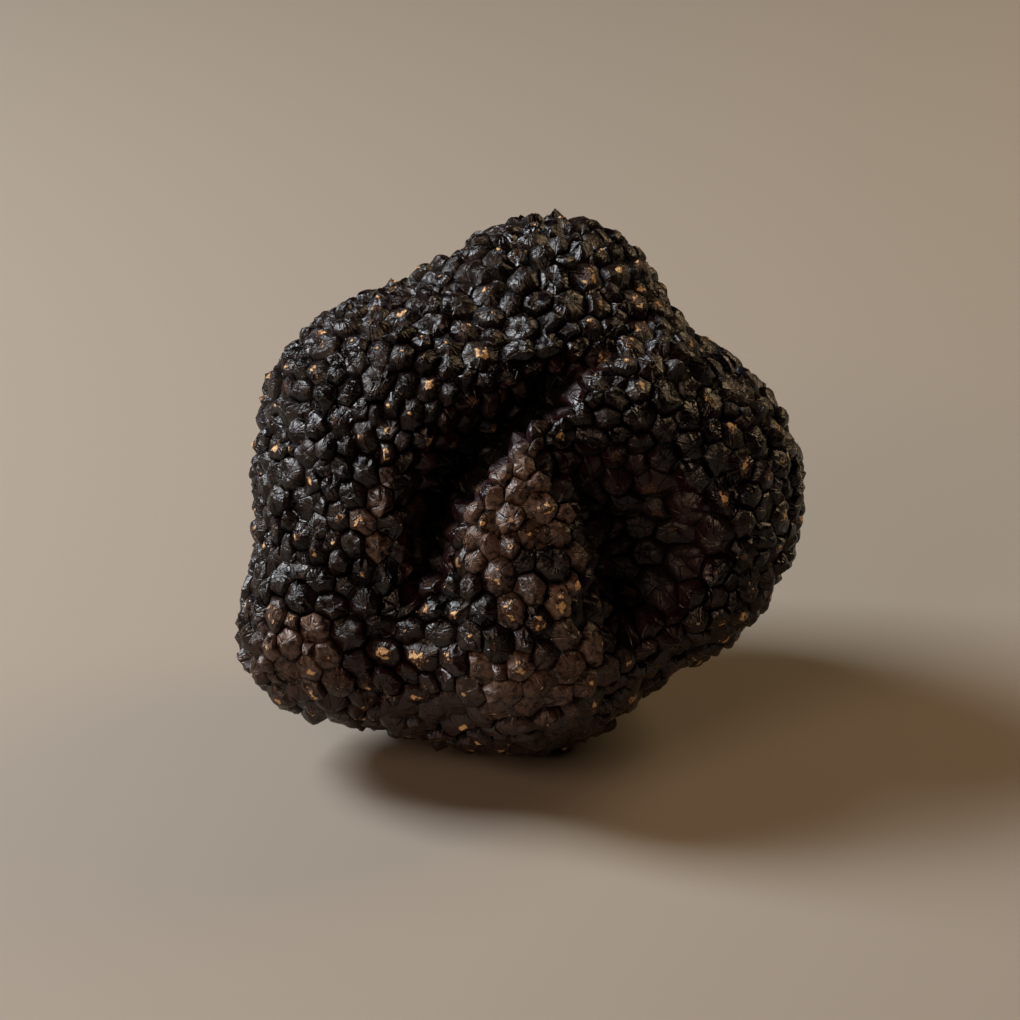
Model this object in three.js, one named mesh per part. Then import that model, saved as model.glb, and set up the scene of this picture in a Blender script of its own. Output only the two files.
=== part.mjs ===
// A black truffle: the warty fruit body of an underground fungus, resting on a small flat spot.
//
// Millimetres, +Z up, -Y towards the furrowed face, origin at the middle of the base of its box.
// The body is one lumpy solid. Smoothly joined lobes make its bulk, ridges are raised on it, and
// folds and a bowl are pressed into it. Its rind is covered in polygonal warts, each a low pyramid
// whose foot lies in the valleys that it shares with its neighbours. The base is pressed flat where
// it rests.

import * as THREE from 'three';
import { ConvexHull } from 'three/addons/math/ConvexHull.js';

// Driving dimensions.

const FACE_TILT = 25; // degrees, how far the furrowed face looks up
const REST_HEIGHT = 25.2; // from the resting plane up to the body's middle
const LOBE_BLEND = 5; // how far from a seam two lobes start to merge
const WART_RISE = 0.5; // a typical wart's tip above the rind's mean surface
const RISE_SPREAD = 0.4; // a wart may rise this share more or less
const VALLEY_DEPTH = 0.5; // the valleys below the rind's mean surface
const CLOSEST_WARTS = 0.69; // the least distance between two tips, as a share of the pitch
const TIP_WANDER = 0.14; // how far a tip may sit off its wart's middle, as a share of the pitch
const SEED = 20;
const SITE_TRIES = 40000; // enough to leave no room for another wart
const SWAP_PASSES = 20; // enough to leave no edge to swap
const SLOPE_STEP = 0.4; // how far to each side the rind's slope is measured

// The body before it leans back: x to the right, y into the body, z up its furrowed face.
// A lobe's pitch is the usual distance between the tips of its warts.

const HEART = [ -2, 8, 3 ]; // every point of the rind, but for its dents, is in plain view from here
const LOBES = [
  { name: 'core', at: [ 0, 2, 0 ], radii: [ 20, 20, 20 ], pitch: 2.9 },
  { name: 'left shoulder', at: [ -10.5, -1, 5.6 ], radii: [ 13.5, 14.5, 12.8 ], pitch: 2.7 },
  { name: 'left flank', at: [ -12.5, 0, -4 ], radii: [ 12, 13, 12 ], pitch: 2.7 },
  { name: 'crown', at: [ 3.7, 3, 14.4 ], radii: [ 11.9, 13, 11.8 ], pitch: 3 },
  { name: 'right upper', at: [ 14, 1, 1 ], radii: [ 13.8, 14, 13.2 ], pitch: 3.2 },
  { name: 'right lower', at: [ 13, 1.5, -5.7 ], radii: [ 13.2, 13, 12.2 ], pitch: 3.2 },
  { name: 'left foot', at: [ -18, -3, -14 ], radii: [ 8, 9, 8 ], pitch: 2.8 },
  { name: 'left base', at: [ -9, 0, -14 ], radii: [ 10.3, 11, 10 ], pitch: 2.9 },
  { name: 'belly', at: [ 1.3, -3, -13.7 ], radii: [ 12.6, 12.4, 11.2 ], pitch: 3.2 },
  { name: 'base', at: [ 0, 5.6, -11.4 ], radii: [ 14, 14, 14 ], pitch: 3.2 },
  { name: 'back', at: [ -2, 8, 2 ], radii: [ 18, 17, 18 ], pitch: 3 },
  { name: 'back right', at: [ 9, 12, -4 ], radii: [ 12, 11, 12 ], pitch: 3.1 },
  { name: 'back left', at: [ -10, 11, 5 ], radii: [ 11, 11, 11 ], pitch: 2.9 },
];

// Ridges follow a smooth path of [ x, y, z, radius ].

const RIDGES = [
  {
    name: 'lip', blend: 5,
    path: [
      [ 14, -7, 10.5, 3 ], [ 10, -9.5, 7.6, 4.4 ], [ 5, -11.2, 4, 4.6 ],
      [ 1.3, -12, 1.4, 4.2 ], [ -1.4, -12.2, -1.5, 4.2 ],
    ],
  },
  {
    name: 'nose', blend: 4,
    path: [
      [ -1.4, -12.2, -1.5, 4.2 ], [ 0.3, -11.7, -6, 6.2 ], [ 0.9, -11.2, -11, 6.8 ],
      [ 1, -10.4, -16, 7.1 ],
    ],
  },
];

// Folds are wedges pressed straight in, from the front unless the back is given, along a smooth
// path of [ x, y, z ] at their floor. Each side opens by its own angle from straight in, and past
// the path's ends one angle turns into the other.

const FOLDS = [
  {
    name: 'main fold', left: 31, right: 12, blend: 3,
    path: [
      [ 12, -14.5, 14.5 ], [ 7.9, -11, 11.8 ], [ 4, -9, 8.4 ], [ -0.8, -8.5, 5 ], [ -3.7, -8, 1.6 ],
      [ -6.1, -8, -1.7 ], [ -7.1, -9, -5.6 ], [ -8.6, -10.5, -9 ], [ -10.5, -13.5, -11.4 ],
      [ -12.5, -16.5, -14 ],
    ],
  },
  {
    name: 'hollow', left: 18, right: 66, blend: 2,
    path: [
      [ 5.6, -13, 1.6 ], [ 8.8, -9, -2.2 ], [ 10, -7.6, -7 ], [ 10.3, -8.4, -12.5 ], [ 10.4, -14, -20 ],
    ],
  },
  {
    name: 'back furrow', back: true, left: 52, right: 60, blend: 5,
    path: [ [ 6, 20, 17 ], [ 1, 20.5, 9 ], [ -1, 20.5, 1 ], [ -3, 20, -7 ], [ -9, 19, -15 ] ],
  },
];
const PATH_STEPS = 24;
const END_SOFTNESS = 1;

// Dents are smooth bowls with a middle [ x, z ], radii and a depth. They are pressed straight in from
// the front once the rind is found, so their sides needn't be in plain view from the heart.

const DENTS = [
  { name: 'bowl', at: [ 14.8, -6.5 ], radii: [ 9, 12 ], depth: 3 },
];

const TINY = 1e-6;
const { clamp, degToRad, lerp, seededRandom } = THREE.MathUtils;
const between = ( low, high ) => lerp( low, high, seededRandom() );

// Signed distances to the pieces of the body, positive outside.

function toLobe( point, { at, radii } ) {
  const x = point.x - at[ 0 ];
  const y = point.y - at[ 1 ];
  const z = point.z - at[ 2 ];
  const reach = Math.hypot( x / radii[ 0 ], y / radii[ 1 ], z / radii[ 2 ] );
  const slope = Math.hypot( x / radii[ 0 ] ** 2, y / radii[ 1 ] ** 2, z / radii[ 2 ] ** 2 );
  return reach * ( reach - 1 ) / Math.max( slope, TINY );
}

const along = new THREE.Vector3();
const away = new THREE.Vector3();

function toRidge( point, { samples } ) {
  let nearest = Infinity;
  for ( let i = 1; i < samples.length; i ++ ) {
    const start = samples[ i - 1 ];
    const end = samples[ i ];
    along.subVectors( end.at, start.at );
    away.subVectors( point, start.at );
    const share = clamp( away.dot( along ) / along.lengthSq(), 0, 1 );
    const radius = lerp( start.radius, end.radius, share );
    nearest = Math.min( nearest, away.addScaledVector( along, - share ).length() - radius );
  }
  return nearest;
}

function toFold( point, { samples, left, right, back } ) {
  let across = Infinity;
  let side = 0;
  let floor = 0;
  for ( let i = 1; i < samples.length; i ++ ) {
    const start = samples[ i - 1 ].at;
    const end = samples[ i ].at;
    const dx = end.x - start.x;
    const dz = end.z - start.z;
    const px = point.x - start.x;
    const pz = point.z - start.z;
    const share = clamp( ( px * dx + pz * dz ) / ( dx * dx + dz * dz ), 0, 1 );
    const reach = Math.hypot( px - share * dx, pz - share * dz );
    if ( reach < across ) {
      across = reach;
      side = ( pz * dx - px * dz ) / Math.hypot( dx, dz ) / Math.hypot( reach, END_SOFTNESS );
      floor = lerp( start.y, end.y, share );
    }
  }
  const opening = degToRad( lerp( left, right, ( 1 + clamp( side, -1, 1 ) ) / 2 ) );
  const above = back ? point.y - floor : floor - point.y;
  return across * Math.cos( opening ) - above * Math.sin( opening );
}

function smoothMin( a, b, blend ) {
  const share = Math.max( blend - Math.abs( a - b ), 0 ) / blend;
  return Math.min( a, b ) - share * share * blend / 4;
}

function smoothMax( a, b, blend ) {
  return - smoothMin( - a, - b, blend );
}

function toBody( point ) {
  let distance = Infinity;
  for ( const lobe of LOBES ) distance = smoothMin( distance, toLobe( point, lobe ), LOBE_BLEND );
  for ( const ridge of RIDGES ) distance = smoothMin( distance, toRidge( point, ridge ), ridge.blend );
  for ( const fold of FOLDS ) distance = smoothMax( distance, - toFold( point, fold ), fold.blend );
  return distance;
}

// How far in the dents press a point of the front, and the distance to the rind with them pressed in.

function dentAt( { x, y, z } ) {
  let total = 0;
  for ( const { at, radii, depth } of DENTS ) {
    const reach = Math.hypot( ( x - at[ 0 ] ) / radii[ 0 ], ( z - at[ 1 ] ) / radii[ 1 ] );
    total += depth * Math.max( 1 - reach ** 2, 0 ) ** 2;
  }
  return y < 0 ? total : 0;
}

function toRind( point ) {
  return toBody( point.clone().setY( point.y - dentAt( point ) ) );
}

// Points spaced along a ridge's or a fold's path, with the radius there.

function samplesOf( path ) {
  const points = new THREE.CatmullRomCurve3( path.map( ( [ x, y, z ] ) => new THREE.Vector3( x, y, z ) ) );
  const radii = new THREE.CatmullRomCurve3( path.map( step => new THREE.Vector3( step[ 3 ] ?? 0, 0, 0 ) ) );
  return Array.from( { length: PATH_STEPS + 1 }, ( _, i ) => ( {
    at: points.getPoint( i / PATH_STEPS ),
    radius: radii.getPoint( i / PATH_STEPS ).x,
  } ) );
}

for ( const feature of [ ...RIDGES, ...FOLDS ] ) feature.samples = samplesOf( feature.path );

// The rind's mean surface, found along a ray from the heart: first by steps inwards from far out,
// then by halving the last step. Its outward direction follows.

const heart = new THREE.Vector3( ...HEART );
const FAR_OUT = 50;
const LEAST_STEP = 0.05;
const STEP_SHARE = 0.5; // of the distance to the body, so that no step passes through a thin ridge
const NEAR_ENOUGH = 1e-4;

function rindAlong( direction ) {
  const point = new THREE.Vector3();
  const distanceAt = reach => toBody( point.copy( heart ).addScaledVector( direction, reach ) );
  let outside = FAR_OUT;
  let inside = FAR_OUT;
  let distance = distanceAt( inside );
  while ( distance > 0 ) {
    outside = inside;
    inside -= Math.max( distance * STEP_SHARE, LEAST_STEP );
    distance = distanceAt( inside );
  }
  while ( outside - inside > NEAR_ENOUGH ) {
    const middle = ( outside + inside ) / 2;
    if ( distanceAt( middle ) > 0 ) outside = middle;
    else inside = middle;
  }
  return point.setY( point.y + dentAt( point ) );
}

function outwardAt( point ) {
  const slope = new THREE.Vector3();
  for ( const axis of [ 'x', 'y', 'z' ] ) {
    const ahead = point.clone();
    const behind = point.clone();
    ahead[ axis ] += SLOPE_STEP;
    behind[ axis ] -= SLOPE_STEP;
    slope[ axis ] = toRind( ahead ) - toRind( behind );
  }
  return slope.normalize();
}

// Warts are scattered until no more fit, each at about its lobe's pitch from the next.

function pitchAt( point ) {
  let total = 0;
  let weights = 0;
  for ( const lobe of LOBES ) {
    const weight = Math.exp( - Math.abs( toLobe( point, lobe ) ) );
    total += weight * lobe.pitch;
    weights += weight;
  }
  return total / weights;
}

function randomDirection() {
  const height = between( -1, 1 );
  const turn = between( 0, 2 * Math.PI );
  const width = Math.sqrt( 1 - height * height );
  return new THREE.Vector3( width * Math.cos( turn ), width * Math.sin( turn ), height );
}

function wartAlong( direction ) {
  const at = rindAlong( direction );
  return { direction, at, pitch: pitchAt( at ) };
}

function scatterWarts() {
  const warts = [];
  for ( let tries = 0; tries < SITE_TRIES; tries ++ ) {
    const wart = wartAlong( randomDirection() );
    const room = wart.pitch * CLOSEST_WARTS;
    if ( warts.every( other => other.at.distanceTo( wart.at ) > room ) ) warts.push( wart );
  }
  return warts;
}

// Three warts meet at each face of the hull of all the warts' directions, once the edges between
// faces are swapped that join warts too far apart on the rind.

const edgesOf = face => [ face.edge, face.edge.next, face.edge.next.next ];

function ring( face, edges ) {
  face.edge = edges[ 0 ];
  edges.forEach( ( edge, i ) => {
    edge.face = face;
    edge.next = edges[ ( i + 1 ) % 3 ];
    edge.prev = edges[ ( i + 2 ) % 3 ];
  } );
}

function swapEdge( edge ) {
  const { twin, next, prev } = edge;
  const { next: twinNext, prev: twinPrev } = twin;
  edge.vertex = next.vertex;
  twin.vertex = twinNext.vertex;
  ring( edge.face, [ edge, prev, twinNext ] );
  ring( twin.face, [ twin, twinPrev, next ] );
}

function facesOut( a, b, c ) {
  return new THREE.Vector3().crossVectors( b, c ).dot( a ) > TINY;
}

function angleAt( corner, a, b ) {
  const toA = new THREE.Vector3().subVectors( a, corner );
  return toA.angleTo( new THREE.Vector3().subVectors( b, corner ) );
}

function isTooLong( edge, placeOf ) {
  const ends = [ edge.tail(), edge.head(), edge.next.head(), edge.twin.next.head() ];
  const [ start, end, left, right ] = ends.map( vertex => vertex.point );
  if ( ! facesOut( start, right, left ) || ! facesOut( right, end, left ) ) return false;
  const [ a, b, c, d ] = [ start, end, left, right ].map( direction => placeOf.get( direction ) );
  return angleAt( c, a, b ) + angleAt( d, a, b ) > Math.PI + TINY;
}

function meetingsOf( warts ) {
  const { faces } = new ConvexHull().setFromPoints( warts.map( wart => wart.direction ) );
  const placeOf = new Map( warts.map( wart => [ wart.direction, wart.at ] ) );
  for ( let pass = 0; pass < SWAP_PASSES; pass ++ ) {
    for ( const face of faces ) {
      const edge = edgesOf( face ).find( edge => isTooLong( edge, placeOf ) );
      if ( edge ) swapEdge( edge );
    }
  }
  return faces;
}

function middleOf( face ) {
  const middle = new THREE.Vector3();
  for ( const edge of edgesOf( face ) ) middle.add( edge.head().point );
  return middle.normalize();
}

// Each wart moves to the middle of its own patch of rind, which evens out the spacing.

function settle( warts ) {
  const patches = new Map( warts.map( wart => [ wart.direction, new THREE.Vector3() ] ) );
  for ( const face of meetingsOf( warts ) ) {
    const middle = middleOf( face );
    for ( const edge of edgesOf( face ) ) patches.get( edge.head().point ).add( middle );
  }
  return [ ...patches.values() ].map( patch => wartAlong( patch.normalize() ) );
}

// A wart's tip stands on the rind, a little off its middle, and higher on some warts than others.

function tipOf( { at, pitch } ) {
  const outward = outwardAt( at );
  const sideways = randomDirection().cross( outward ).normalize();
  const rise = WART_RISE * between( 1 - RISE_SPREAD, 1 + RISE_SPREAD );
  const tip = at.clone().addScaledVector( outward, rise );
  return tip.addScaledVector( sideways, pitch * between( 0, TIP_WANDER ) );
}

// A corner, where three warts meet, is down where their valleys run together.

function cornerOf( face ) {
  const at = rindAlong( middleOf( face ) );
  return at.addScaledVector( outwardAt( at ), - VALLEY_DEPTH );
}

// Each wart is a fan of triangles from its tip to the corners around it.

function makeRind() {
  const warts = settle( scatterWarts() );
  const meetings = meetingsOf( warts );
  const tipIndex = new Map( warts.map( ( wart, i ) => [ wart.direction, i ] ) );
  const cornerIndex = new Map( meetings.map( ( face, i ) => [ face, warts.length + i ] ) );
  const triangles = [];
  for ( const face of meetings ) {
    for ( const edge of edgesOf( face ) ) {
      const tip = tipIndex.get( edge.tail().point );
      triangles.push( tip, cornerIndex.get( edge.twin.face ), cornerIndex.get( face ) );
    }
  }
  const points = [ ...warts.map( tipOf ), ...meetings.map( cornerOf ) ];
  return new THREE.BufferGeometry().setFromPoints( points ).setIndex( triangles );
}

// The body leans back, and what would lie below the resting plane is pressed flat against it.

function standOnFlat( geometry ) {
  geometry.rotateX( degToRad( - FACE_TILT ) ).translate( 0, 0, REST_HEIGHT );
  const position = geometry.getAttribute( 'position' );
  for ( let i = 0; i < position.count; i ++ ) position.setZ( i, Math.max( position.getZ( i ), 0 ) );
  geometry.computeBoundingBox();
  const middle = geometry.boundingBox.getCenter( new THREE.Vector3() );
  geometry.translate( - middle.x, - middle.y, 0 );
  geometry.computeVertexNormals();
  return geometry;
}

function makeTruffle() {
  seededRandom( SEED );
  const rind = new THREE.MeshStandardMaterial( { color: 0x1c1715, roughness: 0.55, metalness: 0 } );
  const truffle = new THREE.Mesh( standOnFlat( makeRind() ), rind );
  truffle.name = 'truffle';
  return truffle;
}

const blackTruffle = new THREE.Group();
blackTruffle.add( makeTruffle() );

export default blackTruffle;
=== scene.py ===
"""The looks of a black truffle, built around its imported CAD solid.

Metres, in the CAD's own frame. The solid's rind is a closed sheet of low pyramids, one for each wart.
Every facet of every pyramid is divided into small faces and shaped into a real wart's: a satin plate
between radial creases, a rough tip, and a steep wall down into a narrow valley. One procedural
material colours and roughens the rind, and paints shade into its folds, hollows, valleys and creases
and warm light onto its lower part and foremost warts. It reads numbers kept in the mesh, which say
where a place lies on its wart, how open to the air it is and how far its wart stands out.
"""

import math
from types import SimpleNamespace

import bmesh
import bpy
import numpy as np
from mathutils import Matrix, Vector, noise
from mathutils.bvhtree import BVHTree


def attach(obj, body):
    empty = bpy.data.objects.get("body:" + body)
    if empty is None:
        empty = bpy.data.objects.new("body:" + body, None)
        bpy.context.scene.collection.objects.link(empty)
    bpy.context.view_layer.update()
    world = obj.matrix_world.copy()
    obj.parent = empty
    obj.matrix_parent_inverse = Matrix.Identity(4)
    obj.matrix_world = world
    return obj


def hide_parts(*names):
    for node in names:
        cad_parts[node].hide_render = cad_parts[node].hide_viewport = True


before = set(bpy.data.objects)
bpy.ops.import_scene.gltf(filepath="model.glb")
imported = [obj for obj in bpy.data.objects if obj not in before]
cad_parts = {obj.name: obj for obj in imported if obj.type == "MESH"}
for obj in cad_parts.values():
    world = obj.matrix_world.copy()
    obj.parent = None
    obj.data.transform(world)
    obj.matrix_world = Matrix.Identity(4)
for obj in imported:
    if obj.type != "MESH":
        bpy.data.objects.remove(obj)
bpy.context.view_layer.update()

MM = 0.001
SEED = 7
WELD = 0.001 * MM

# The facets. A place on a facet is told by its share of the way from the wart's tip, 0, to the valley,
# 1, and by how far along it lies from the facet's first side line, 0, to its second, 1.

ROWS = (0, 0.28, 0.54, 0.78, 0.94, 1)
ALONG_AT_TIP = 0.5

# The warts.

WART_HEIGHT = 1.2 * MM
HEIGHT_SPREAD = 0.3
FLATTEST, SHARPEST = 0.55, 1  # how much of a wart is a pointed cone, and the rest a flat-topped block
WALL_SHARPNESS = 11
DIMPLE = 0.4  # how far a tip may be sunk, as a share of the wart's height
DIMPLE_SHARE = 0.4
LEAN = 0.25  # how steeply a wart's top may slope to one side

# The facets' own plates, and the lines between them.

PLATE = (-0.1 * MM, 0.1 * MM)  # how far a plate may be sunk or raised
TILT = 0.18 * MM
SQUARENESS = 4  # how suddenly a plate ends at its two side lines
PLATE_FADE_AT_TIP = 0.4
PLATE_FADE_AT_VALLEY = 0.15
RIDGE = 0.1 * MM  # how far a line between two facets may stand up,
CREASE = 0.3 * MM  # and how deeply it may be cut instead
CREASE_RARITY = 3  # how few of the creases are deep
CREASE_DRAWS = 11  # how many draws each corner has, from which each wart beside it takes one

# The valleys.

GROOVE = 0.12 * MM
GROOVE_SHARPNESS = 12
FILLED_VALLEYS = 0.5  # the share of the valleys that are partly filled
FILLING = 0.5 * MM
FILLING_DRAWS = 13  # how many draws each corner has, from which each valley that ends there takes one

# What roughens the whole rind.

WARP = 0.28 * MM
WARP_SIZE = 1.5 * MM
WARP_OFFSETS = (3.7, 17.2, 41.9)  # where in the noise each of X, Y and Z is read
GRIT = 0.05 * MM
GRIT_SIZE = 0.45 * MM
GRIT_EVERYWHERE = 0.4
GRIT_AT_TIP = 1.2
GRIT_SHARE = 0.5
SHARP_EDGE = math.radians(22)

# The radial wrinkles are noise, which neighbouring facets read in different places.

WRINKLES = 6
WRINKLE_STEP = 5
WRINKLE_PLACES = 97

# How open to the air a place is: the share of rays from it that leave the truffle.

RAYS = 48
RAY_LENGTH = 18 * MM
RAY_START = 0.6 * MM

PROUD_REACH = 6 * MM  # how far around a wart is looked at to tell how far it stands out

# The rind's colours.

BLACK = (0.0024, 0.001, 0.001, 1)
BROWN_BLACK = (0.008, 0.0028, 0.0018, 1)
# Painted light: a warm brown that stands in for warm light bounced up onto the lower part.
PAINTED_WARM_BOUNCE = (0.024, 0.009, 0.005, 1)
# Dust on the worn warts, together with painted warm light that brightens the foremost warts, the nose
# most.
DUST_AND_WARM_LIGHT = (0.135, 0.082, 0.06, 1)
# Painted shade: a dark maroon that stands in for the shade in the folds and hollows.
PAINTED_MAROON_SHADE = (0.012, 0.0006, 0.0013, 1)
# Painted shade: near black laid into the deepest places, along the valleys between the warts and along
# the creases.
PAINTED_SHADE = (0.0015, 0.0006, 0.0005, 1)
SCAR_BROWN = (0.06, 0.026, 0.012, 1)
SCAR_TAN = (0.75, 0.47, 0.22, 1)

# The sizes of the material's noises, from coarse to fine.

PATCH_SIZE = 4 * MM
BLOTCH_SIZE = 0.8 * MM
CRUMPLE_SIZE = 0.7 * MM
GRAIN_SIZE = 0.22 * MM
FINE_DETAIL = 3

# Where each look starts, and where it is in full: in metres, in the mesh's numbers, or in a noise,
# which runs from about 0.3 to 0.7.

BROWN_PATCHES = (0.4, 0.6)
# Painted light: the heights at which the painted warm bounce starts, and where it is in full.
WARM_BOUNCE_HEIGHTS = (22 * MM, 8 * MM)
# Dust and painted warm light go on the warts that stand out and lie foremost, between these heights and
# in these patches.
WORN_WARTS = (1.1 * MM, 1.5 * MM)  # how far they stand out,
FOREMOST = (-13 * MM, -17 * MM)  # and where they lie along Y
DUSTY_HEIGHTS = (6 * MM, 20 * MM)
DUSTY_PATCHES = (0.3, 0.6)
# Painted shade: the openness at which the painted maroon shade starts, and where it is in full.
MAROON_SHADE_AIR = (0.85, 0.65)
# Painted shade: the openness at which the darkest painted shade starts, and where it is in full.
DARKEST_SHADE_AIR = (0.56, 0.36)
# Painted shade in the valleys: it starts at this share of the way from the tip, and is in full at the
# valley.
VALLEY_SHARES = (0.86, 1)
SCARRED_WARTS = (0.45, 1)
SCAR_EDGE = (0, 0.15)
BARE_EDGE = (0.02, 0.08)
BARE_BLOTCHES = (0.52, 0.57)
BARE_AIR = (0.7, 0.95)
SATIN_PATCHES = (0.35, 0.65)
DULL_AIR = (0.82, 0.6)
WRINKLED_AIR = (0.6, 0.95)
CREASE_WIDTH = (0.04 * MM, 0.2 * MM)

# How strong each look is in full.

LARGEST_SCAR = 0.46  # in shares of the way from the tip to the valley
WORN_SCAR = 0.1
SCAR_WANDERING = 0.9
MIDDLE_OF_NOISE = 0.5
CREASE_WANDERING = 0.1 * MM
# Painted shade along the creases, as a share of the painted valley shade.
CREASE_SHADE = 0.2
# The share of the painted valley shade that stays where the dust is in full.
DUST_IN_VALLEYS = 0.5

SPECULAR = 0.38
SATIN_ROUGHNESS = (0.19, 0.36)
SHELTERED_ROUGHNESS = 0.5
DUST_ROUGHNESS = 0.34
PALE_ROUGHNESS = 0.6

WRINKLE_DEPTH = 0.12 * MM
CRUMPLE_DEPTH = 0.12 * MM
GRAIN_DEPTH = 0.03 * MM
CREASE_CUT = -0.06 * MM
SCAR_DEPTH = 0.25 * MM

# The studio.

FLOOR_REACH = 4
FLOOR_COLOUR = (0.27, 0.235, 0.19, 1)
FLOOR_ROUGHNESS = 0.8
SKY_COLOUR = (1, 0.9, 0.8, 1)
SKY_STRENGTH = 0.006
LIGHT_DISTANCE = 0.46
COOL_WHITE = (0.93, 0.96, 1)
LAMPLIGHT = (1, 0.66, 0.46)
AMBER = (1, 0.7, 0.4)

CAMERA_ELEVATION = math.radians(25)
CAMERA_DISTANCE = 0.41
CAMERA_NEAREST = 0.01
FRAME_WIDTH = 98.7 * MM
AIM = Vector((-1.1, -1.2, 22.7)) * MM


def welded(mesh):
    """The mesh's distinct points, in order along X, and its triangles as rows of three point numbers."""
    solid = bmesh.new()
    solid.from_mesh(mesh)
    bmesh.ops.remove_doubles(solid, verts=solid.verts, dist=WELD)
    solid.verts.index_update()
    points = np.array([point.co for point in solid.verts])
    triangles = np.array([[point.index for point in face.verts] for face in solid.faces])
    solid.free()
    order = np.lexsort(points.T[::-1])
    return points[order], np.argsort(order)[triangles].tolist()


def turned(triangle, tip):
    """The same triangle, started at its wart's tip."""
    at = triangle.index(tip)
    return triangle[at:] + triangle[:at]


def facets_of_warts(points, triangles):
    """The triangles, each started at its tip. The highest point is a tip, and every triangle has one."""
    row_of = {}
    for row, (a, b, c) in enumerate(triangles):
        row_of.update({(a, b): row, (b, c): row, (c, a): row})
    top = int(points[:, 2].argmax())
    first = next(row for row, triangle in enumerate(triangles) if top in triangle)
    facets = {first: turned(triangles[first], top)}
    waiting = [first]
    while waiting:
        tip, a, b = facets[waiting.pop()]
        for start, end in ((a, tip), (tip, b), (b, a)):
            row = row_of[start, end]
            if row not in facets:
                far = next(point for point in triangles[row] if point not in (start, end))
                facets[row] = turned(triangles[row], tip if tip in (start, end) else far)
                waiting.append(row)
    return np.array(sorted(facets.values()))


def outward_at(points, triangles):
    """Each point's outward direction, averaged over the triangles around it."""
    a, b, c = (points[triangles[:, side]] for side in range(3))
    across = np.cross(b - a, c - a)
    outward = np.zeros_like(points)
    for side in range(3):
        np.add.at(outward, triangles[:, side], across)
    return outward / np.linalg.norm(outward, axis=1, keepdims=True)


def openness(points, outward, triangles, random):
    """For each point, the share of the rays leaving it that meet nothing near."""
    solid = BVHTree.FromPolygons(points.tolist(), triangles.tolist())
    ways = random.normal(size=(RAYS, 3))
    ways /= np.linalg.norm(ways, axis=1, keepdims=True)
    share = []
    for point, up in zip(points, outward):
        aims = ways + up
        start = Vector(point + up * RAY_START)
        hits = sum(solid.ray_cast(start, Vector(aim), RAY_LENGTH)[0] is not None for aim in aims)
        share.append(1 - hits / RAYS)
    return np.array(share)


def proudness(points, outward):
    """How far each point stands out from the middle of the points around it."""
    proud = []
    for point, up in zip(points, outward):
        around = points[np.linalg.norm(points - point, axis=1) < PROUD_REACH]
        proud.append((point - around.mean(axis=0)) @ up)
    return np.array(proud)


def grid_of_facet():
    """A facet's grid: for each point its row and its step along it, and the small faces."""
    places = [(row, step) for row in range(len(ROWS)) for step in range(row + 1)]
    number = {place: i for i, place in enumerate(places)}
    faces = []
    for row in range(len(ROWS) - 1):
        for step in range(row + 1):
            faces.append((number[row, step], number[row + 1, step], number[row + 1, step + 1]))
        for step in range(row):
            faces.append((number[row, step], number[row + 1, step + 1], number[row, step + 1]))
    return np.array(places), np.array(faces)


def shared_numbers(facets, places):
    """The first grid point of each set that lies in one place, and each grid point's set.

    A place is known by how many steps it lies from each of the facet's corners, so facets share the
    points on their edges.
    """
    rows = len(ROWS) - 1
    parts = np.stack([rows - places[:, 0], places[:, 0] - places[:, 1], places[:, 1]], axis=1)
    parts = np.broadcast_to(parts, (len(facets), *parts.shape))
    ends = np.where(parts > 0, facets[:, None, :], -1)
    order = np.argsort(ends, axis=2)
    keys = [np.take_along_axis(ends, order, 2), np.take_along_axis(parts, order, 2)]
    keys = np.concatenate(keys, axis=2).reshape(-1, 6)
    _, first, number = np.unique(keys, axis=0, return_index=True, return_inverse=True)
    return first, number.reshape(len(facets), len(places))


def noise_at(points, size, offset=0.0):
    """Smooth noise of about -1 to 1 at each point, with features of about that size."""
    shift = Vector((offset, offset, offset))
    return np.array([noise.noise(Vector(point) / size + shift) for point in points])


def wart_form(at, tip, share, random, count):
    """Each grid point's rise as far as its whole wart makes it: cone or block, dimple and lean."""
    tall = (1 + HEIGHT_SPREAD * random.uniform(-1, 1, count))[tip][:, None]
    cone = random.uniform(FLATTEST, SHARPEST, count)[tip][:, None]
    dimple = (DIMPLE * random.uniform(0, 1, count))[tip][:, None]
    left = 1 - share
    block = 1 - share ** WALL_SHARPNESS
    rise = WART_HEIGHT * tall * (cone * left + (1 - cone) * block)
    rise -= WART_HEIGHT * dimple * np.clip(1 - share / DIMPLE_SHARE, 0, 1)
    rise -= WART_HEIGHT * left
    lean = LEAN * random.uniform(-1, 1, (count, 3))[tip]
    rise += np.einsum("fpx,fx->fp", at - at[:, :1], lean) * block
    return rise


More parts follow.
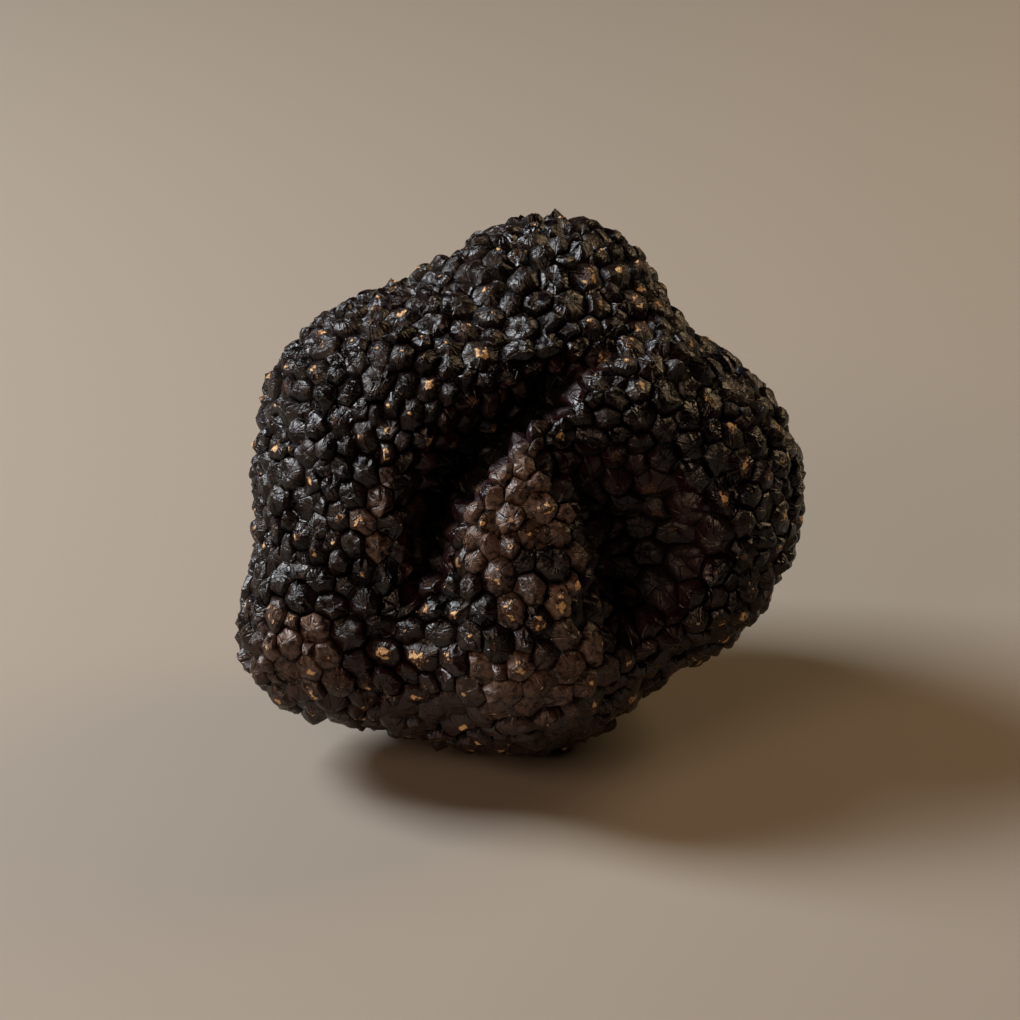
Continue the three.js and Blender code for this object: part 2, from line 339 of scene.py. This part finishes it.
def wart_relief(at, facets, share, along, random, count):
    """How far each grid point of each facet stands above the solid's flat facet."""
    tip, a, b = facets.T
    rise = wart_form(at, tip, share, random, count)

    inside = 1 - abs(2 * along - 1) ** SQUARENESS
    on_plate = np.clip(share / PLATE_FADE_AT_TIP, 0, 1)
    on_plate = on_plate * np.clip((1 - share) / PLATE_FADE_AT_VALLEY, 0, 1)
    plate = random.uniform(*PLATE, len(facets))[:, None]
    tilt = TILT * random.uniform(-1, 1, len(facets))[:, None]
    rise += (plate + tilt * share) * inside * on_plate

    cut = CREASE * random.uniform(0, 1, (count, CREASE_DRAWS)) ** CREASE_RARITY
    depth = cut - RIDGE * random.uniform(0, 1, (count, CREASE_DRAWS))
    crease_a = depth[a, tip % CREASE_DRAWS][:, None] * (along == 0)
    crease_b = depth[b, tip % CREASE_DRAWS][:, None] * (along == 1)
    rise -= (crease_a + crease_b) * on_plate

    draws = random.uniform(0, 1, (count, FILLING_DRAWS))
    filling = draws[np.minimum(a, b), np.maximum(a, b) % FILLING_DRAWS]
    filling = FILLING * np.clip((filling - 1 + FILLED_VALLEYS) / FILLED_VALLEYS, 0, 1)[:, None]
    rise += (filling * np.sin(math.pi * along) - GROOVE) * share ** GROOVE_SHARPNESS
    return rise


def radial_places(facets, share, along):
    """Where each corner of a facet's small faces reads the wrinkles' noise: across, down, facet."""
    radial = np.stack([along * WRINKLES, share, 0 * share], axis=2)
    radial = np.broadcast_to(radial, (len(facets), *radial.shape)).copy()
    radial[..., 2] += WRINKLE_STEP * (np.arange(len(facets)) % WRINKLE_PLACES)[:, None, None]
    return radial.reshape(-1, 3)


def shape_rind(points, triangles):
    """The rind's points and small faces, with the numbers that its material reads."""
    random = np.random.default_rng(SEED)
    facets = facets_of_warts(points, triangles)
    outward = outward_at(points, facets)
    open_share = openness(points, outward, facets, random)
    places, small = grid_of_facet()
    share = np.array(ROWS)[places[:, 0]]
    steps = np.maximum(places[:, 0], 1)
    along = np.where(places[:, 0] > 0, places[:, 1] / steps, ALONG_AT_TIP)
    weights = np.stack([1 - share, share * (1 - along), share * along], axis=1)

    at = np.einsum("pw,fwx->fpx", weights, points[facets])
    up = np.einsum("pw,fwx->fpx", weights, outward[facets])
    up /= np.linalg.norm(up, axis=2, keepdims=True)
    rise = wart_relief(at, facets, share, along, random, len(points))

    first, number = shared_numbers(facets, places)
    at = at.reshape(-1, 3)[first]
    up = up.reshape(-1, 3)[first]
    rise = rise.reshape(-1)[first]
    share_there = np.tile(share, len(facets))[first]
    open_there = np.einsum("pw,fw->fp", weights, open_share[facets]).reshape(-1)[first]
    near_tip = np.clip(1 - share_there / GRIT_SHARE, 0, 1)
    rise += GRIT * noise_at(at, GRIT_SIZE) * (GRIT_EVERYWHERE + GRIT_AT_TIP * near_tip)
    warp = np.stack([noise_at(at, WARP_SIZE, offset) for offset in WARP_OFFSETS], axis=1)
    shaped = at + up * rise[:, None] + WARP * warp
    shaped[:, 2] = np.maximum(shaped[:, 2], 0)

    wart = random.uniform(0, 1, len(points))[facets[:, 0]]
    proud = proudness(points, outward)[facets[:, 0]]
    width = np.linalg.norm(points[facets[:, 1]] - points[facets[:, 2]], axis=1)[:, None]
    side = width * share * np.minimum(along, 1 - along)
    return {
        "points": shaped,
        "faces": number[:, small].reshape(-1, 3),
        "share": share_there,
        "side": side.reshape(-1)[first],
        "open": open_there,
        "wart": np.repeat(wart, len(small)),
        "proud": np.repeat(proud, len(small)),
        "radial": radial_places(facets, share[small], along[small]),
    }


def make_rind(node):
    """The truffle's rind as one closed mesh, with its material's numbers as attributes."""
    rind = shape_rind(*welded(node.data))
    mesh = bpy.data.meshes.new("truffle_rind")
    mesh.from_pydata(rind["points"].tolist(), [], rind["faces"].tolist())
    mesh.shade_smooth()
    mesh.set_sharp_from_angle(angle=SHARP_EDGE)
    domains = {"share": "POINT", "side": "POINT", "open": "POINT", "wart": "FACE", "proud": "FACE"}
    for name, domain in domains.items():
        attribute = mesh.attributes.new(name, "FLOAT", domain)
        attribute.data.foreach_set("value", rind[name].astype(np.float32))
    attribute = mesh.attributes.new("radial", "FLOAT_VECTOR", "CORNER")
    attribute.data.foreach_set("vector", rind["radial"].astype(np.float32).reshape(-1))
    truffle = bpy.data.objects.new("truffle_rind", mesh)
    bpy.context.scene.collection.objects.link(truffle)
    return truffle


class Nodes:
    """Makes a material's nodes. Every call returns the new node's output, to be another's input."""

    def __init__(self, name):
        self.material = bpy.data.materials.new(name)
        self.material.use_nodes = True
        self.tree = self.material.node_tree
        self.shader = self.tree.nodes["Principled BSDF"]

    def join(self, value, socket):
        if isinstance(value, bpy.types.NodeSocket):
            self.tree.links.new(value, socket)
        else:
            socket.default_value = value

    def add(self, kind, inputs, output=0, **settings):
        node = self.tree.nodes.new(kind)
        for name, value in settings.items():
            setattr(node, name, value)
        for socket, value in inputs.items():
            self.join(value, node.inputs[socket])
        return node.outputs[output]

    def number(self, name):
        return self.add("ShaderNodeAttribute", {}, "Fac", attribute_name=name)

    def vector(self, name):
        return self.add("ShaderNodeAttribute", {}, "Vector", attribute_name=name)

    def noise(self, place, size, detail=2.0):
        """Noise of about 0.3 to 0.7 with features of a size in metres."""
        return self.add("ShaderNodeTexNoise", {"Vector": place, "Scale": 1 / size, "Detail": detail})

    def ramp(self, value, start, end, low=0.0, high=1.0):
        """Low up to start, high from end on, and smooth between."""
        inputs = {"Value": value, "From Min": start, "From Max": end, "To Min": low, "To Max": high}
        return self.add("ShaderNodeMapRange", inputs, interpolation_type="SMOOTHSTEP")

    def maths(self, operation, a, b=0.0):
        return self.add("ShaderNodeMath", {0: a, 1: b}, operation=operation)

    def blend(self, share, a, b):
        """Colour a where share is 0, and b where it is 1."""
        return self.add("ShaderNodeMix", {"Factor": share, 6: a, 7: b}, 2, data_type="RGBA")

    def bump(self, height, depth, below=None):
        """Pushes the surface in and out by up to a depth in metres."""
        inputs = {"Height": height, "Distance": depth}
        if below is not None:
            inputs["Normal"] = below
        return self.add("ShaderNodeBump", inputs)


def read_place(nodes):
    """What is known of a place on the rind: the mesh's numbers, where it lies, and the noises there."""
    place = nodes.add("ShaderNodeTexCoord", {}, "Object")
    wrinkles = {"Vector": nodes.vector("radial"), "Scale": 1, "Detail": FINE_DETAIL}
    return SimpleNamespace(
        share=nodes.number("share"),
        side=nodes.number("side"),
        air=nodes.number("open"),
        wart=nodes.number("wart"),
        proud=nodes.number("proud"),
        y=nodes.add("ShaderNodeSeparateXYZ", {"Vector": place}, "Y"),
        height=nodes.add("ShaderNodeSeparateXYZ", {"Vector": place}, "Z"),
        patches=nodes.noise(place, PATCH_SIZE),
        blotches=nodes.noise(place, BLOTCH_SIZE, FINE_DETAIL),
        crumple=nodes.noise(place, CRUMPLE_SIZE),
        grain=nodes.noise(place, GRAIN_SIZE),
        wrinkles=nodes.add("ShaderNodeTexNoise", wrinkles),
    )


def add_scars(nodes, here):
    """The rough brown patch at a wart's tip. It is larger on some warts, and pale on a few."""
    wandering = nodes.maths("MULTIPLY_ADD", here.crumple, SCAR_WANDERING)
    wandering.node.inputs[2].default_value = -SCAR_WANDERING * MIDDLE_OF_NOISE
    from_tip = nodes.maths("ADD", here.share, wandering)
    reach = nodes.ramp(here.wart, *SCARRED_WARTS, 0, LARGEST_SCAR)
    reach = nodes.maths("ADD", reach, nodes.maths("MULTIPLY", here.worn, WORN_SCAR))
    within = nodes.maths("SUBTRACT", reach, from_tip)
    here.scar = nodes.ramp(within, *SCAR_EDGE)
    blotches = nodes.ramp(here.blotches, *BARE_BLOTCHES)
    bare = nodes.maths("MULTIPLY", nodes.ramp(within, *BARE_EDGE), blotches)
    here.pale = nodes.maths("MULTIPLY", bare, nodes.ramp(here.air, *BARE_AIR))


def add_wear(nodes, here):
    """Dry dust and painted warm light on the foremost warts that stand out, thinner near the ground."""
    worn = nodes.ramp(here.proud, *WORN_WARTS)
    here.worn = nodes.maths("MULTIPLY", worn, nodes.ramp(here.y, *FOREMOST))
    here.dusty = nodes.maths("MULTIPLY", here.worn, nodes.ramp(here.height, *DUSTY_HEIGHTS))
    here.dust = nodes.maths("MULTIPLY", here.dusty, nodes.ramp(here.crumple, *DUSTY_PATCHES))


def add_creases(nodes, here):
    """The lines between the facets, 1 in the middle of a line."""
    wandering = nodes.maths("MULTIPLY", here.crumple, CREASE_WANDERING)
    here.crease = nodes.ramp(nodes.maths("ADD", here.side, wandering), *CREASE_WIDTH, 1, 0)


def rind_colour(nodes, here):
    """Black to brown-black, with painted warm bounce light towards the bottom, dust and painted warm
    light where worn, painted maroon shade in the folds, painted shade in the valleys and creases, and
    tan on the scars.
    """
    colour = nodes.blend(nodes.ramp(here.patches, *BROWN_PATCHES), BLACK, BROWN_BLACK)
    # Painted light: warm bounce light towards the bottom.
    colour = nodes.blend(nodes.ramp(here.height, *WARM_BOUNCE_HEIGHTS), colour, PAINTED_WARM_BOUNCE)
    # Dust and painted warm light on the foremost warts that stand out.
    colour = nodes.blend(here.dust, colour, DUST_AND_WARM_LIGHT)
    # Painted shade: maroon where the rind is closed in, in the folds and hollows.
    colour = nodes.blend(nodes.ramp(here.air, *MAROON_SHADE_AIR), colour, PAINTED_MAROON_SHADE)
    # Painted shade: near black where the rind is most closed in.
    colour = nodes.blend(nodes.ramp(here.air, *DARKEST_SHADE_AIR), colour, PAINTED_SHADE)
    # Painted shade along the creases and in the valleys between the warts, with less of it where there
    # is dust.
    creases = nodes.maths("MULTIPLY", here.crease, CREASE_SHADE)
    cut = nodes.maths("MAXIMUM", nodes.ramp(here.share, *VALLEY_SHARES), creases)
    valley_shade = nodes.maths("MULTIPLY", cut, nodes.ramp(here.dusty, 0, 1, 1, DUST_IN_VALLEYS))
    colour = nodes.blend(valley_shade, colour, PAINTED_SHADE)
    return nodes.blend(here.scar, colour, nodes.blend(here.pale, SCAR_BROWN, SCAR_TAN))


def rind_roughness(nodes, here):
    """Satin in patches, and duller where it is sheltered, dusty or scarred."""
    satin = nodes.ramp(here.patches, *SATIN_PATCHES, *SATIN_ROUGHNESS)
    sheltered = nodes.ramp(here.air, *DULL_AIR, 0, SHELTERED_ROUGHNESS)
    dull = nodes.maths("MAXIMUM", sheltered, nodes.ramp(here.dust, 0, 1, 0, DUST_ROUGHNESS))
    pale = nodes.maths("MULTIPLY", here.pale, PALE_ROUGHNESS)
    return nodes.maths("MAXIMUM", nodes.maths("MAXIMUM", satin, dull), pale)


def rind_normal(nodes, here):
    """Radial wrinkles in the open, fine crumples and grain all over, and creases and scars."""
    wrinkles = nodes.maths("MULTIPLY", here.wrinkles, nodes.ramp(here.air, *WRINKLED_AIR))
    normal = nodes.bump(wrinkles, WRINKLE_DEPTH)
    normal = nodes.bump(here.crumple, CRUMPLE_DEPTH, normal)
    normal = nodes.bump(here.grain, GRAIN_DEPTH, normal)
    normal = nodes.bump(here.crease, CREASE_CUT, normal)
    return nodes.bump(nodes.maths("MULTIPLY", here.scar, here.grain), SCAR_DEPTH, normal)


def rind_material():
    """Near-black satin rind with painted maroon shade in the folds, a brown nose of dust and painted
    warm light, and tan scars.
    """
    nodes = Nodes("rind")
    here = read_place(nodes)
    add_wear(nodes, here)
    add_scars(nodes, here)
    add_creases(nodes, here)
    nodes.join(rind_colour(nodes, here), nodes.shader.inputs["Base Color"])
    nodes.join(rind_roughness(nodes, here), nodes.shader.inputs["Roughness"])
    nodes.join(rind_normal(nodes, here), nodes.shader.inputs["Normal"])
    nodes.shader.inputs["Specular IOR Level"].default_value = SPECULAR
    return nodes.material


def floor_material():
    material = bpy.data.materials.new("floor")
    material.use_nodes = True
    shader = material.node_tree.nodes["Principled BSDF"]
    shader.inputs["Base Color"].default_value = FLOOR_COLOUR
    shader.inputs["Roughness"].default_value = FLOOR_ROUGHNESS
    return material


def make_floor():
    mesh = bpy.data.meshes.new("floor")
    sides = ((-1, -1), (1, -1), (1, 1), (-1, 1))
    corners = [(x * FLOOR_REACH, y * FLOOR_REACH, 0) for x, y in sides]
    mesh.from_pydata(corners, [], [(0, 1, 2, 3)])
    mesh.materials.append(floor_material())
    floor = bpy.data.objects.new("floor", mesh)
    bpy.context.scene.collection.objects.link(floor)


def look_at(thing, target):
    thing.rotation_mode = "QUATERNION"
    thing.rotation_quaternion = (target - thing.location).to_track_quat("-Z", "Y")


def add_light(name, azimuth, elevation, size, power, colour):
    """A square light that faces the truffle. Azimuth 0 is in front of it, and 90 degrees its right."""
    azimuth, elevation = math.radians(azimuth), math.radians(elevation)
    level = math.cos(elevation)
    way = Vector((level * math.sin(azimuth), -level * math.cos(azimuth), math.sin(elevation)))
    light = bpy.data.lights.new(name, "AREA")
    light.size = size
    light.energy = power
    light.color = colour
    lamp = bpy.data.objects.new(name, light)
    lamp.location = AIM + LIGHT_DISTANCE * way
    look_at(lamp, AIM)
    bpy.context.scene.collection.objects.link(lamp)


def light_studio():
    world = bpy.data.worlds.new("studio")
    world.use_nodes = True
    background = world.node_tree.nodes["Background"]
    background.inputs["Color"].default_value = SKY_COLOUR
    background.inputs["Strength"].default_value = SKY_STRENGTH
    bpy.context.scene.world = world
    bpy.context.scene.view_settings.view_transform = "Standard"
    add_light("key", azimuth=254, elevation=42, size=0.18, power=3.5, colour=COOL_WHITE)
    add_light("fill", azimuth=322, elevation=32, size=0.2, power=0.7, colour=LAMPLIGHT)
    add_light("rim", azimuth=125, elevation=32, size=0.2, power=0.9, colour=AMBER)


def make_camera():
    data = bpy.data.cameras.new("camera")
    data.lens = data.sensor_width * CAMERA_DISTANCE / FRAME_WIDTH
    data.clip_start = CAMERA_NEAREST
    camera = bpy.data.objects.new("camera", data)
    back = Vector((0, -math.cos(CAMERA_ELEVATION), math.sin(CAMERA_ELEVATION)))
    camera.location = AIM + back * CAMERA_DISTANCE
    look_at(camera, AIM)
    bpy.context.scene.collection.objects.link(camera)
    bpy.context.scene.camera = camera


make_camera()
light_studio()
make_floor()
truffle = make_rind(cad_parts["truffle"])
truffle.data.materials.append(rind_material())
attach(truffle, "root")
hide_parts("truffle")
